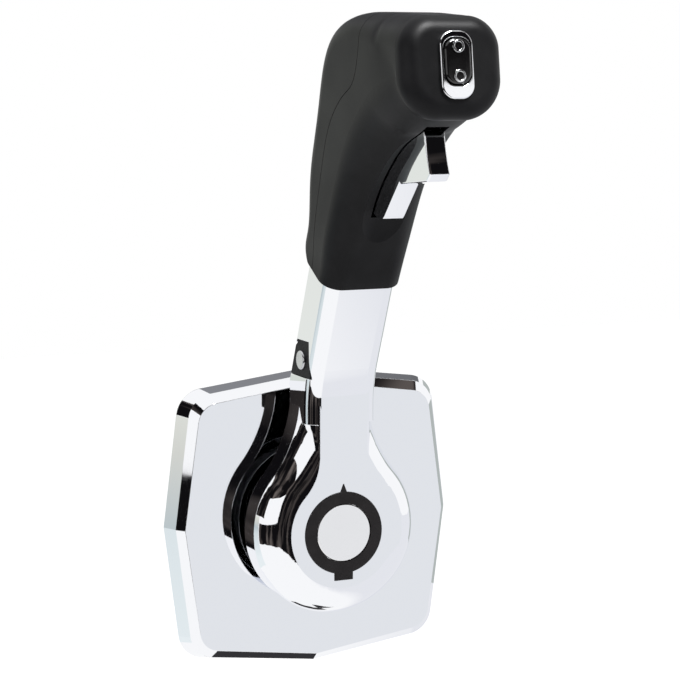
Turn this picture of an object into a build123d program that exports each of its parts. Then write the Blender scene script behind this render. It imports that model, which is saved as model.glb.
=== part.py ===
from build123d import *
from math import acos, asin, atan2, cos, degrees, hypot, pi, radians, sin, sqrt, tan
import os

# Side-mount boat throttle control: a chromed cover plate on a panel, a swinging lever with a
# palm grip, and the sensing mechanism in a housing behind the panel.
# Millimetres. +X to the right, +Z up, the panel is the plane Y = 0 and the lever stands out
# towards -Y. "Out" below is the distance from the panel, so out = -Y. The lever turns about Y.

# ---------------------------------------------------------------- driving dimensions
# cover plate: a barrel outline with a ridge in the middle of each side
plate_half_width = 69.8
plate_corner_x = 62.1
plate_corner_z = 60.7
plate_apex_z = 68.5
plate_corner_radius = 13.0
face_corner_radius = 9.5
rim_lift = 0.4
rim_height = 7.3
plate_height = 11.2
rim_draft_side = 3.4
rim_draft_top = 1.6
bevel_side = 3.1
bevel_top = 3.7
plate_wall = 2.2

# mounting plate and gasket
base_thickness = 4.0
base_inset = 9.0
gasket_height = 2.5
gasket_gap = 1.4
panel_hole_radius = 3.3
panel_hole_inset = 21.8
panel_hole_z = 40.0
cover_post_inset = 14.8
cover_post_z = 54.0
cover_post_radius = 4.0
cover_pin_radius = 2.5
grommet_radius = 4.5
collar_radius = 28.0
collar_out = 19.5
step_radius = 20.0
step_out = 25.0

# lever hub
hub_radius = 38.4
hub_back = 20.0
hub_rim_out = 31.0
hub_shoulder_out = 37.5
hub_shoulder_radius = 34.6
hub_face_out = 42.0
hub_face_radius = 25.0
hub_wall = 3.9
hub_cavity_out = 30.0
hub_boss_radius = 12.0
neck_half_width = 16.2
neck_shoulder_half_width = 14.6
neck_face_half_width = 11.3
neck_flare = 60.0
neck_shoulder_flare = 50.0
neck_face_flare = 25.0
neck_top = 63.5

# lever arm
lean = 23.5
arm_width = 33.0
arm_depth = 22.0
arm_corner = 6.0
arm_rear_corner = 1.5
arm_bend_radius = 45.0
arm_foot = 49.0
arm_heel = 64.0
arm_top = 62.0
rod_out = 47.5
rod_height = 90.0
rod_to_front = 5.0

# access recess in the arm's left flank, measured along and across the lock rod
access_low = 69.5
access_high = 86.0
access_front = 42.0
access_chamfer = 3.0
access_depth = 2.5
access_plug_sunk = 0.5
access_screw_radius = 1.5
access_head_radius = 4.3
seat_slack = 0.05

# screws that clamp both grip shells on the arm
grip_screw_x = 10.0
grip_screw_radius = 2.0
grip_screw_head = 3.8
grip_screw_lengths = (36.0, 54.0)

# main shaft and its bearings
shaft_radius = 7.0
square_width = 9.8
thread_radius = 4.9
washer_thickness = 1.2
washer_radius = 9.0
nut_width = 16.0
nut_height = 3.8
socket_floor = 32.0
rear_journal_radius = 6.0
bush_wall = 2.0
running_fit = 0.03
seat_gap = 0.3
seal_radius = 12.0
seal_thickness = 3.4

# centre button and ring
button_radius = 12.9
button_flange_radius = 14.4
button_top = 42.2
button_travel = 3.0
button_cap = 1.5
pushrod_radius = 2.4
ring_radius = 18.4
ring_inner_radius = 13.1
ring_recess = 1.0
ring_proud = 0.5
pointer_tip_z = 22.0
pointer_half_width = 1.4
tab_width = 8.6
tab_low_z = 21.3

# neutral lock
lock_ring_thickness = 4.0
lock_ring_radius = 31.0
lock_notch_depth = 4.0
lock_rod_radius = 2.5
slide_gap = 0.1
collar_gap = 0.3
lock_bore_radius = 4.2
lock_collar_radius = 3.8
lock_collar_height = 2.0
lock_step = 30.0
guide_length = 10.0
trigger_travel = 4.5
trigger_half_width = 4.5
slot_half_width = 5.0

# gears and sensing
gear_module = 1.5
drive_teeth = 32
sensor_teeth = 16
pressure_angle = radians(20)
addendum = 0.9
dedendum = 1.25
gear_backlash = 0.2
gear_front = 2.0
gear_thickness = 6.0
sensor_shaft_radius = 3.0
magnet_thickness = 2.5
forward_angle = 85.0
reverse_angle = 65.0
detent_angle = 30.0
stop_orbit = 16.4
stop_pin_radius = 2.0
stop_clearance = 0.3
detent_front = 9.0
detent_thickness = 5.0
detent_radius = 19.0
detent_depth = 2.0
detent_nose = 3.0
drum_radius = 13.0
drum_front = 14.5
drum_back = 20.8
key_width = 4.0

# housing behind the panel
housing_half_width = 38.0
housing_top = 34.0
housing_bottom = -49.0
housing_corner = 8.0
housing_wall = 3.0
seat_depth = 1.0
seat_margin = 1.0
partition_front = 22.0
partition_back = 26.0
housing_depth = 36.0
lid_thickness = 3.5
boss_radius = 4.5
boss_inset = 6.0
screw_radius = 1.5
screw_head_radius = 2.8
screw_head = 2.0
sensor_bush_wall = 1.5
board_front = 32.0
board_thickness = 1.6
board_post_x = 26.0
board_post_z = (20.0, -30.0)
board_post_radius = 2.6
board_screw_radius = 1.2
chip_width = 5.0
chip_height = 1.2
tact_width = 8.0
tact_height = 3.5
tact_plunger = 1.2
connector_z = -24.0
connector_radius = 11.0
connector_barrel = 9.0
connector_wall = 1.5
connector_length = 12.0
pin_length = 4.5

# detent leaf spring and friction adjuster
leaf_thickness = 0.8
leaf_width = 4.0
leaf_foot_x = -22.0
shoe_thickness = 6.0
shoe_height = 12.0
shoe_length = 5.0
adjuster_radius = 2.5
adjuster_reach = 6.0

# palm grip: each station is (front out, front z), (rear out, rear z), width, front and rear radius
grip_stations = (
    ((64.5, 110.5), (40.0, 124.0), 37.0, 8.5, 7.0),
    ((73.5, 126.0), (41.0, 138.0), 38.3, 10.5, 9.0),
    ((84.0, 142.0), (42.0, 154.5), 39.0, 13.0, 11.0),
    ((93.5, 154.5), (45.8, 173.0), 39.5, 15.0, 12.0),
    ((103.5, 163.7), (54.6, 194.0), 41.0, 17.0, 12.0),
    ((114.0, 171.0), (62.5, 212.0), 42.0, 18.5, 12.0),
    ((124.0, 177.0), (90.0, 224.2), 43.0, 19.0, 12.0),
    ((134.0, 181.0), (118.0, 224.6), 43.4, 18.5, 13.0),
    ((143.5, 183.7), (138.5, 224.0), 43.4, 16.5, 13.0),
)
grip_wall = 3.0
head_face_out = 149.0
head_face_z = 203.8
head_tilt = 8.0
head_width = 42.6
head_height = 41.2
head_corner = 14.5
head_edge = 7.0
arm_clearance = 0.15
seam_points = (
    (48.9, 113.0), (50.3, 118.7), (53.6, 131.0), (57.0, 142.5), (60.4, 153.0), (63.8, 162.4), (67.9, 171.6),
    (73.0, 179.8), (80.4, 187.0), (89.5, 192.9), (98.5, 197.5), (104.0, 206.0), (106.0, 232.0),
)
seam_shift = 0.25
grip_boss_radius = 5.4
grip_boss_seat = 3.0
grip_screw_head_height = 2.2
grip_screw_tip = 7.8
pad_half_width = 12.0
pad_points = (
    (83, 140), (93, 154.5), (104, 163.5), (116, 170.8), (134, 178.5),
    (131, 185), (112, 176.5), (98, 168.5), (87, 158), (78.5, 146),
)
slot_points = ((74, 142.3), (98, 142.3), (134.2, 160), (134.2, 190), (100, 190), (74, 160))
scoop_radius = 18.2
scoop_path = (
    (94.1, 122.6), (96.2, 132.5), (104.6, 144.4), (112.7, 151.7), (121.6, 157.6), (131.4, 161.0), (140.8, 162.1),
)

# trigger of the neutral lock: its grip face and its root over the lock rod
trigger_toe = (
    (88.5, 142.6), (92.5, 142.6), (94.2, 144.0), (107.8, 158.2), (109.0, 157.4), (133.2, 159.8), (136.2, 162.7),
)
trigger_lip_radius = 0.6
trigger_toe_radius = 1.5
trigger_edge = 0.8
trigger_hook = (133.3, 170.0)
trigger_back = ((131.4, 177.1), (127.2, 186.0), (113.0, 186.0), (98.0, 171.0), (84.0, 160.5))
trigger_root = (62.8, 74.5)
trigger_root_half = 5.5
trigger_bore_top = 70.0

# trim switch on the head
bezel_width = 13.9
bezel_height = 26.2
bezel_corner = 5.5
bezel_proud = 1.6
bezel_shift = 1.2
bezel_depth = 7.0
rocker_width = 11.0
rocker_height = 17.4
rocker_corner = 4.6
rocker_rise = 1.2
rocker_side_gap = 0.4
rocker_end_gap = 0.7
rocker_shift = 1.2
rocker_pin_depth = 3.0
rocker_pin_radius = 1.0
pip_spacing = 11.4
pip_radius = 2.45
pip_wall = 0.8
pip_rise = 0.5
switch_width = 15.0
switch_height = 28.0
switch_back = 18.0

# ---------------------------------------------------------------- derived dimensions
lean_sin, lean_cos = sin(radians(lean)), cos(radians(lean))
panel_hole_x = plate_half_width - panel_hole_inset
cover_post_x = plate_half_width - cover_post_inset
arm_rear = rod_to_front - arm_depth
sensor_distance = gear_module * (drive_teeth + sensor_teeth) / 2
tooth_pitch = 360 / drive_teeth
sensor_angle = -(round(61 / tooth_pitch) + 0.5) * tooth_pitch
board_back = board_front + board_thickness
housing_centre_z = (housing_top + housing_bottom) / 2
housing_height = housing_top - housing_bottom
lock_clear_radius = lock_ring_radius + collar_gap
ring_back = hub_face_out - ring_recess
flange_top = ring_back - seat_gap
pocket_floor = flange_top - button_cap - button_travel - seat_gap
nut_pocket_radius = nut_width / sqrt(3) + 2.2
rod_foot = (lock_clear_radius - rod_height) / lean_cos + 1.5
side = Plane(origin=(0, 0, 0), x_dir=(0, -1, 0), z_dir=(-1, 0, 0))


# ---------------------------------------------------------------- placing helpers
def out(distance):
    """The plane parallel to the panel, at a distance outwards from it."""
    return Plane.XZ.offset(distance)


def along_arm(length, forward=0.0):
    """The point (out, z) at a length up the lock rod's axis and a distance in front of it."""
    return (
        rod_out + length * lean_sin + forward * lean_cos,
        rod_height + length * lean_cos - forward * lean_sin,
    )


def across_arm(length):
    """The plane square to the arm, with its origin on the lock rod's axis and local y rearwards."""
    point_out, point_z = along_arm(length)
    return Plane((0, -point_out, point_z), x_dir=(1, 0, 0), z_dir=(0, -lean_sin, lean_cos))


def arm_front_z(point_out):
    """Height at which the arm's straight front line reaches a distance out."""
    front_out, front_z = along_arm(0, rod_to_front)
    return front_z + (point_out - front_out) / tan(radians(lean))


def arm_rear_out(point_z):
    """Distance out of the arm's straight rear line at a height."""
    rear_out, rear_z = along_arm(0, arm_rear)
    return rear_out + (point_z - rear_z) * tan(radians(lean))


access_screw = (
    (arm_rear_out((access_low + access_high) / 2) + access_front) / 2,
    (access_low + access_high) / 2 - 0.8,
)


def ring_of(radius, count, first=0.0):
    """Points (x, z) spread evenly round the shaft."""
    angles = [radians(first + 360 * number / count) for number in range(count)]
    return [(radius * cos(angle), radius * sin(angle)) for angle in angles]


head = Plane(
    (0, -head_face_out, head_face_z),
    x_dir=(1, 0, 0),
    z_dir=(0, -cos(radians(head_tilt)), sin(radians(head_tilt))),
)
switch_seat = Plane(head.from_local_coords((0, bezel_shift, 0)), x_dir=head.x_dir, z_dir=head.z_dir)


def grip_screw_plane(length):
    """The plane in the lock rod's axis that the grip screws cross at right angles."""
    point_out, point_z = along_arm(length)
    return Plane((0, -point_out, point_z), x_dir=(1, 0, 0), z_dir=(0, -lean_cos, -lean_sin))


# ---------------------------------------------------------------- shared outlines
def barrel(plane, inset_side, inset_top, radius):
    """The plate's outline, drawn in by the insets, with only its four corners rounded."""
    half, corner_x = plate_half_width - inset_side, plate_corner_x - inset_side
    corner_z, apex = plate_corner_z - inset_top, plate_apex_z - inset_top
    right = [(0, apex), (corner_x, corner_z), (half, 0), (corner_x, -corner_z), (0, -apex)]
    left = [(-x, z) for x, z in right[-2:0:-1]]
    with BuildSketch(plane) as outline:
        with BuildLine():
            Polyline(*right, *left, close=True)
        make_face()
        fillet(outline.vertices().filter_by(lambda v: abs(abs(v.X) - corner_x) < 0.01), radius)
    return outline.sketch


def keyhole(plane, radius, half_neck, flare):
    """A disc with a neck rising from it, joined by concave flares tangent to both."""
    centre_x = half_neck + flare
    centre_z = sqrt((radius + flare) ** 2 - centre_x**2)
    join = radius / (radius + flare)
    middle = atan2(-centre_z, -centre_x) / 2 - pi / 2
    with BuildSketch(plane) as outline:
        with BuildLine():
            neck = Line((half_neck, neck_top), (half_neck, centre_z))
            flared = ThreePointArc(
                neck @ 1,
                (centre_x + flare * cos(middle), centre_z + flare * sin(middle)),
                (centre_x * join, centre_z * join),
            )
            ThreePointArc(flared @ 1, (radius, 0), (0, -radius))
            mirror(about=Plane.YZ)
            Line((half_neck, neck_top), (-half_neck, neck_top))
        make_face()
    return outline.sketch


def housing_outline(plane, inset):
    """The housing's rounded outline, drawn in by an inset."""
    with BuildSketch(plane) as outline:
        with Locations((0, housing_centre_z)):
            RectangleRounded(
                2 * (housing_half_width - inset),
                housing_height - 2 * inset,
                housing_corner - inset,
            )
    return outline.sketch


def gear_outline(plane, teeth, turn):
    """A spur gear's involute outline, with one tooth centred on the angle turn in degrees."""
    pitch_radius = teeth * gear_module / 2
    base_radius = pitch_radius * cos(pressure_angle)
    tip_radius = pitch_radius + addendum * gear_module
    root_radius = pitch_radius - dedendum * gear_module
    at_base = (pi * gear_module / 2 - gear_backlash / 2) / (2 * pitch_radius)
    at_base += tan(pressure_angle) - pressure_angle
    steps = 3
    flank = [(root_radius, at_base)]
    for number in range(steps + 1):
        radius = base_radius + (tip_radius - base_radius) * number / steps
        roll = acos(base_radius / radius)
        flank.append((radius, at_base - (tan(roll) - roll)))
    points = []
    for tooth in range(teeth):
        centre = radians(turn) + 2 * pi * tooth / teeth
        for radius, angle in flank:
            points.append((radius * cos(centre - angle), radius * sin(centre - angle)))
        for radius, angle in reversed(flank):
            points.append((radius * cos(centre + angle), radius * sin(centre + angle)))
    with BuildSketch(plane) as outline:
        with BuildLine():
            Polyline(*points, close=True)
        make_face()
    return outline.sketch


def grip_section(station, inset=0.0):
    """One cross-section of the grip, drawn in by an inset, on its own tilted plane."""
    (front_out, front_z), (rear_out, rear_z), width, front_radius, rear_radius = station
    length = hypot(rear_out - front_out, rear_z - front_z)
    middle = (0, -(front_out + rear_out) / 2, (front_z + rear_z) / 2)
    toward_rear = (0, -(rear_out - front_out) / length, (rear_z - front_z) / length)
    plane = Plane(middle, x_dir=(1, 0, 0), z_dir=(0, -toward_rear[2], toward_rear[1]))
    with BuildSketch(plane) as outline:
        Rectangle(width - 2 * inset, length - 2 * inset)
        fillet(outline.vertices().group_by(Axis.Y)[0], front_radius - inset)
        fillet(outline.vertices().group_by(Axis.Y)[-1], rear_radius - inset)
    return outline.sketch


def pointer_shape(slack):
    """The small triangular pointer above the centre ring, joined to it."""
    half, low_z = pointer_half_width + slack, ring_radius - 1
    with BuildSketch() as shape:
        with BuildLine():
            Polyline(
                (-half, low_z),
                (half, low_z),
                (half, ring_radius),
                (0, pointer_tip_z + slack),
                (-half, ring_radius),
                close=True,
            )
        make_face()
    return shape.sketch


def tab_shape(slack):
    """The tab below the centre ring, joined to it."""
    high_z, low_z = ring_radius - 1, tab_low_z + slack
    with BuildSketch() as shape:
        with Locations((0, -(low_z + high_z) / 2)):
            Rectangle(tab_width + 2 * slack, low_z - high_z)
    return shape.sketch


def access_shape(gap, overrun):
    """The access recess in the arm's left flank, open at the arm's rear edge, with a clipped top corner."""
    low, high, front = access_low + gap, access_high - gap, access_front - gap
    clip = high - access_chamfer
    with BuildSketch() as shape:
        with BuildLine():
            Polyline(
                (front, low),
                (front, high),
                (arm_rear_out(high) + gap - overrun + access_chamfer, high),
                (arm_rear_out(clip) + gap - overrun, clip),
                (arm_rear_out(low) + gap - overrun, low),
                close=True,
            )
        make_face()
    return shape.sketch


def save(builder, name):
    """Labels a finished piece and writes it under its own name."""
    builder.part.label = name
    export_step(builder.part, f"parts/{name}.step")


os.makedirs("parts", exist_ok=True)

# ---------------------------------------------------------------- cover plate
with BuildPart() as cover_plate:
    loft(
        sections=[
            barrel(out(rim_lift), 0, 0, plate_corner_radius),
            barrel(out(rim_height), rim_draft_side, rim_draft_top, plate_corner_radius - 1),
        ],
        ruled=True,
    )
    loft(
        sections=[
            barrel(out(rim_height), rim_draft_side, rim_draft_top, plate_corner_radius - 1),
            barrel(
                out(plate_height),
                rim_draft_side + bevel_side,
                rim_draft_top + bevel_top,
                face_corner_radius,
            ),
        ],
        ruled=True,
    )
    loft(
        sections=[
            barrel(out(rim_lift), plate_wall, plate_wall, plate_corner_radius - plate_wall),
            barrel(
                out(plate_height - plate_wall),
                rim_draft_side + bevel_side,
                rim_draft_top + bevel_top,
                face_corner_radius,
            ),
        ],
        ruled=True,
        mode=Mode.SUBTRACT,
    )
    with BuildSketch(out(plate_height)):
        Circle(collar_radius + 1)
    extrude(amount=-plate_height, mode=Mode.SUBTRACT)
    cover_posts = [(-cover_post_x, 0), (cover_post_x, 0), (0, cover_post_z), (0, -cover_post_z)]
    with BuildSketch(out(base_thickness + 0.3)):
        with Locations(*cover_posts):
            Circle(cover_post_radius)
    extrude(until=Until.NEXT)
    with BuildSketch(out(base_thickness + 0.3)):
        with Locations(*cover_posts):
            Circle(cover_pin_radius)
    extrude(amount=-(base_thickness - 0.5))
save(cover_plate, "cover_plate")

# ---------------------------------------------------------------- mounting plate
panel_holes = [(x, z) for x in (-panel_hole_x, panel_hole_x) for z in (-panel_hole_z, panel_hole_z)]
housing_bosses = [
    (x, z)
    for x in (boss_inset - housing_half_width, housing_half_width - boss_inset)
    for z in (housing_bottom + boss_inset, housing_top - boss_inset)
]
lock_ring_orbit = (step_radius + collar_radius) / 2 + 0.6
with BuildPart() as mounting_plate:
    extrude(barrel(out(0), base_inset, base_inset, face_corner_radius), amount=base_thickness)
    with BuildSketch(out(base_thickness)):
        Circle(collar_radius)
    extrude(amount=collar_out - base_thickness)
    with BuildSketch(out(collar_out)):
        Circle(step_radius)
    extrude(amount=step_out - collar_out)
    extrude(
        housing_outline(out(0), -seat_margin), amount=seat_depth, mode=Mode.SUBTRACT
    )
    with BuildSketch(out(seat_depth)):
        Circle(collar_radius - 4)
        Circle(shaft_radius + running_fit + bush_wall + 4, mode=Mode.SUBTRACT)
    extrude(amount=collar_out - 4 - seat_depth, mode=Mode.SUBTRACT)
    with BuildSketch(out(step_out)):
        Circle(shaft_radius + running_fit + bush_wall)
    extrude(amount=-step_out, mode=Mode.SUBTRACT)
    with BuildSketch(out(step_out)):
        Circle(seal_radius)
    extrude(amount=-seal_thickness, mode=Mode.SUBTRACT)
    with BuildSketch(out(0)):
        with Locations(*panel_holes):
            Circle(panel_hole_radius)
    extrude(amount=base_thickness, mode=Mode.SUBTRACT)
    with BuildSketch(out(0)):
        with Locations(*cover_posts):
            Circle(grommet_radius)
    extrude(amount=base_thickness, mode=Mode.SUBTRACT)
    with BuildSketch(out(0)):
        with Locations(*housing_bosses):
            Circle(screw_radius + 0.2)
    extrude(amount=base_thickness, mode=Mode.SUBTRACT)
    with BuildSketch(out(collar_out)):
        with Locations(*ring_of(lock_ring_orbit, 3, 30)):
            Circle(screw_radius)
    extrude(amount=-3.5, mode=Mode.SUBTRACT)
    with BuildSketch(out(seat_depth)):
        with Locations((0, stop_orbit)):
            Circle(stop_pin_radius)
    extrude(amount=3, mode=Mode.SUBTRACT)
save(mounting_plate, "mounting_plate")

with BuildPart() as panel_gasket:
    outer_inset = plate_wall + gasket_gap
    extrude(barrel(out(0), outer_inset, outer_inset, plate_corner_radius - outer_inset), amount=gasket_height)
    extrude(
        barrel(out(0), base_inset - 0.2, base_inset - 0.2, face_corner_radius),
        amount=gasket_height,
        mode=Mode.SUBTRACT,
    )
save(panel_gasket, "panel_gasket")

with BuildPart() as cover_grommets:
    with BuildSketch(out(0.2)):
        with Locations(*cover_posts):
            Circle(grommet_radius)
            Circle(cover_pin_radius + 0.05, mode=Mode.SUBTRACT)
    extrude(amount=base_thickness - 0.2)
save(cover_grommets, "cover_grommets")

# ---------------------------------------------------------------- bearings and seal
front_bush_back = seat_depth
with BuildPart() as front_bush:
    with BuildSketch(out(front_bush_back)):
        Circle(shaft_radius + running_fit + bush_wall)
        Circle(shaft_radius + running_fit, mode=Mode.SUBTRACT)
    extrude(amount=step_out - seal_thickness - front_bush_back)
save(front_bush, "front_bush")

with BuildPart() as shaft_seal:
    with BuildSketch(out(step_out)):
        Circle(seal_radius)
        Circle(shaft_radius + running_fit, mode=Mode.SUBTRACT)
    extrude(amount=-seal_thickness)
save(shaft_seal, "shaft_seal")

with BuildPart() as rear_bush:
    with BuildSketch(out(-partition_back)):
        Circle(rear_journal_radius + running_fit + bush_wall)
        Circle(rear_journal_radius + running_fit, mode=Mode.SUBTRACT)
    extrude(amount=partition_back - drum_back - seat_gap)
save(rear_bush, "rear_bush")

# ---------------------------------------------------------------- neutral lock ring on the collar
with BuildPart() as lock_ring:
    with BuildSketch(out(collar_out)):
        Circle(lock_ring_radius)
        Circle(step_radius, mode=Mode.SUBTRACT)
        with Locations((0, lock_ring_radius)):
            Rectangle(2 * (lock_rod_radius + collar_gap), 2 * lock_notch_depth, mode=Mode.SUBTRACT)
        with Locations(*ring_of(lock_ring_orbit, 3, 30)):
            Circle(screw_radius + 0.1, mode=Mode.SUBTRACT)
    extrude(amount=lock_ring_thickness)
save(lock_ring, "lock_ring")

with BuildPart() as lock_ring_screws:
    with BuildSketch(out(collar_out - 3.5)):
        with Locations(*ring_of(lock_ring_orbit, 3, 30)):
            Circle(screw_radius)
    extrude(amount=3.5 + lock_ring_thickness)
    with BuildSketch(out(collar_out + lock_ring_thickness)):
        with Locations(*ring_of(lock_ring_orbit, 3, 30)):
            Circle(2 * screw_radius)
            RegularPolygon(screw_radius, 6, mode=Mode.SUBTRACT)
    extrude(amount=1.6)
save(lock_ring_screws, "lock_ring_screws")

# ---------------------------------------------------------------- lever arm: hub, neck and bent arm
bend = (hub_face_out, arm_front_z(hub_face_out))
with BuildPart() as lever_arm:
    # the hub's rim, then its domed front up to the flat keyhole face
    extrude(
        keyhole(out(hub_back), hub_radius, neck_half_width, neck_flare),
        amount=hub_rim_out - hub_back,
    )
    loft(
        sections=[
            keyhole(out(hub_rim_out), hub_radius, neck_half_width, neck_flare),
            keyhole(out(hub_shoulder_out), hub_shoulder_radius, neck_shoulder_half_width, neck_shoulder_flare),
            keyhole(out(hub_face_out), hub_face_radius, neck_face_half_width, neck_face_flare),
        ]
    )
    # the leaning arm, with its heel behind the neck
    with BuildSketch(side, mode=Mode.PRIVATE) as arm_side:
        with BuildLine():
            Polyline(
                (hub_face_out, arm_foot),
                bend,
                along_arm(arm_top, rod_to_front),
                along_arm(arm_top, arm_rear),
                (arm_rear_out(arm_heel), arm_heel),
                (hub_back, arm_heel),
                (hub_back, arm_foot),
                close=True,
            )
        make_face()
        fillet(arm_side.vertices().filter_by(lambda v: hypot(v.X - bend[0], v.Y - bend[1]) < 0.01), arm_bend_radius)
    with BuildPart(mode=Mode.PRIVATE) as arm_bar:
        extrude(arm_side.sketch, amount=arm_width / 2, both=True)
        flank_edges = arm_bar.edges().filter_by(
            lambda e: abs(abs(e.center().X) - arm_width / 2) < 0.01 and e.center().Z > arm_foot + 1
        )
        fillet(
            flank_edges.filter_by(lambda e: -e.center().Y > arm_rear_out(e.center().Z) + 0.8 * arm_depth),
            arm_corner,
        )
        rear_edges = arm_bar.edges().filter_by(
            lambda e: abs(abs(e.center().X) - arm_width / 2) < 0.01
            and abs(-e.center().Y - arm_rear_out(e.center().Z)) < 0.5
        )
        fillet(rear_edges, arm_rear_corner)
    add(arm_bar.part)
    # the cavity that swings round the lock ring, open at the back
    with BuildSketch(out(hub_back)):
        Circle(hub_radius - hub_wall)
    extrude(amount=hub_cavity_out - hub_back, mode=Mode.SUBTRACT)
    with BuildSketch(out(step_out + seat_gap)):
        Circle(hub_boss_radius)
    extrude(amount=hub_cavity_out - step_out - seat_gap)
    # the square socket, the nut pocket and the recess for the ring
    with BuildSketch(out(socket_floor)):
        Rectangle(square_width, square_width)
    extrude(amount=-(socket_floor - step_out - seat_gap), mode=Mode.SUBTRACT)
    for floor, radius in (
        (socket_floor, nut_pocket_radius),
        (pocket_floor, button_flange_radius + collar_gap),
        (ring_back, ring_radius),
    ):
        with BuildSketch(out(floor)):
            Circle(radius)
        extrude(amount=hub_face_out + 1 - floor, mode=Mode.SUBTRACT)
    with BuildSketch(out(ring_back)):
        add(pointer_shape(seat_slack))
        add(tab_shape(seat_slack))
    extrude(amount=ring_recess, mode=Mode.SUBTRACT)
    # the lock rod's bore, wider above the step for the spring and the guide
    with BuildSketch(across_arm(rod_foot)):
        Circle(lock_rod_radius + slide_gap)
    extrude(amount=arm_top - rod_foot, mode=Mode.SUBTRACT)
    with BuildSketch(across_arm(lock_step)):
        Circle(lock_bore_radius)
    extrude(amount=arm_top - lock_step, mode=Mode.SUBTRACT)
    # the access recess in the left flank and its screw hole
    with BuildSketch(side.offset(arm_width / 2)):
        add(access_shape(0, 1))
    extrude(amount=-access_depth, mode=Mode.SUBTRACT)
    with BuildSketch(side.offset(arm_width / 2)):
        with Locations(access_screw):
            Circle(access_screw_radius)
    extrude(amount=-access_depth - 8, mode=Mode.SUBTRACT)
    # clearance holes for the grip screws
    for length in grip_screw_lengths:
        with BuildSketch(grip_screw_plane(length)):
            with Locations((-grip_screw_x, 0), (grip_screw_x, 0)):
                Circle(grip_screw_radius + slide_gap)
        extrude(amount=arm_depth, both=True, mode=Mode.SUBTRACT)
save(lever_arm, "lever_arm")

# ---------------------------------------------------------------- pieces seated in the hub and the arm
with BuildPart() as access_plug:
    with BuildSketch(side.offset(arm_width / 2 - access_depth)):
        add(access_shape(0.15, 0))
        with Locations(access_screw):
            Circle(access_screw_radius + slide_gap, mode=Mode.SUBTRACT)
    extrude(amount=access_depth - access_plug_sunk)
save(access_plug, "access_plug")

with BuildPart() as access_screw_piece:
    with BuildSketch(side.offset(arm_width / 2 - access_depth - 8)):
        with Locations(access_screw):
            Circle(access_screw_radius)
    extrude(amount=access_depth - access_plug_sunk + 8)
    with BuildSketch(side.offset(arm_width / 2 - access_plug_sunk)):
        with Locations(access_screw):
            Circle(access_head_radius)
    extrude(amount=1.2)
    fillet(access_screw_piece.edges().group_by(Axis.X)[0], 0.8)
save(access_screw_piece, "access_plug_screw")

with BuildPart() as hub_ring:
    with BuildSketch(out(ring_back)):
        Circle(ring_radius - seat_slack)
        add(pointer_shape(0))
        add(tab_shape(0))
        Circle(ring_inner_radius, mode=Mode.SUBTRACT)
    extrude(amount=ring_recess + ring_proud)
save(hub_ring, "hub_ring")

with BuildPart() as hub_washer:
    with BuildSketch(out(socket_floor)):
        Circle(washer_radius)
        Circle(thread_radius + slide_gap, mode=Mode.SUBTRACT)
    extrude(amount=washer_thickness)
save(hub_washer, "hub_washer")

nut_back = socket_floor + washer_thickness
with BuildPart() as hub_nut:
    with BuildSketch(out(nut_back)):
        RegularPolygon(nut_width / 2, 6, major_radius=False)
        Circle(thread_radius, mode=Mode.SUBTRACT)
    extrude(amount=nut_height)
save(hub_nut, "hub_nut")

# ---------------------------------------------------------------- main shaft
shaft_front = nut_back + nut_height + 0.3
shaft_back = -28.0
with BuildPart() as main_shaft:
    with BuildSketch(out(step_out)):
        Circle(shaft_radius)
    extrude(amount=-(step_out + drum_front))
    with BuildSketch(out(step_out)):
        Rectangle(square_width, square_width)
    extrude(amount=socket_floor - step_out)
    with BuildSketch(out(socket_floor)):
        Circle(thread_radius)
    extrude(amount=shaft_front - socket_floor)
    with BuildSketch(out(-drum_front)):
        Circle(drum_radius)
    extrude(amount=-(drum_back - drum_front))
    with BuildSketch(out(-drum_back)):
        Circle(rear_journal_radius)
    extrude(amount=drum_back + shaft_back)
    with BuildSketch(out(shaft_front)):
        Circle(pushrod_radius + slide_gap)
    extrude(amount=shaft_back - shaft_front, mode=Mode.SUBTRACT)
    with BuildSketch(out(-partition_back - seat_gap)):
        Circle(rear_journal_radius + 1)
        Circle(rear_journal_radius - 0.8, mode=Mode.SUBTRACT)
    extrude(amount=-1.0, mode=Mode.SUBTRACT)
    with BuildSketch(out(-gear_front)):
        with Locations((0, shaft_radius)):
            Rectangle(key_width, key_width)
    extrude(amount=-(drum_front - gear_front), mode=Mode.SUBTRACT)
save(main_shaft, "main_shaft")

with BuildPart() as gear_key:
    with BuildSketch(out(-gear_front)):
        with Locations((0, shaft_radius)):
            Rectangle(key_width, key_width)
    extrude(amount=-(detent_front + detent_thickness - gear_front))
save(gear_key, "gear_key")

with BuildPart() as shaft_circlip:
    with BuildSketch(out(-partition_back - seat_gap)):
        Circle(rear_journal_radius + 2.4)
        Circle(rear_journal_radius - 0.8, mode=Mode.SUBTRACT)
        with Locations((0, -rear_journal_radius)):
            Rectangle(4, 8, mode=Mode.SUBTRACT)
    extrude(amount=-1.0)
save(shaft_circlip, "shaft_circlip")

# ---------------------------------------------------------------- drive gear and detent disc
with BuildPart() as drive_gear:
    extrude(gear_outline(out(-gear_front), drive_teeth, 0), amount=-gear_thickness)
    with BuildSketch(out(-gear_front)):
        Circle(shaft_radius)
        with Locations((0, shaft_radius)):
            Rectangle(key_width, key_width)
        with BuildLine():
            stop_slot = CenterArc(
                (0, 0), stop_orbit, 90 - forward_angle, forward_angle + reverse_angle
            )
        SlotArc(stop_slot, 2 * (stop_pin_radius + stop_clearance))
    extrude(amount=-gear_thickness, mode=Mode.SUBTRACT)
save(drive_gear, "drive_gear")

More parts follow.
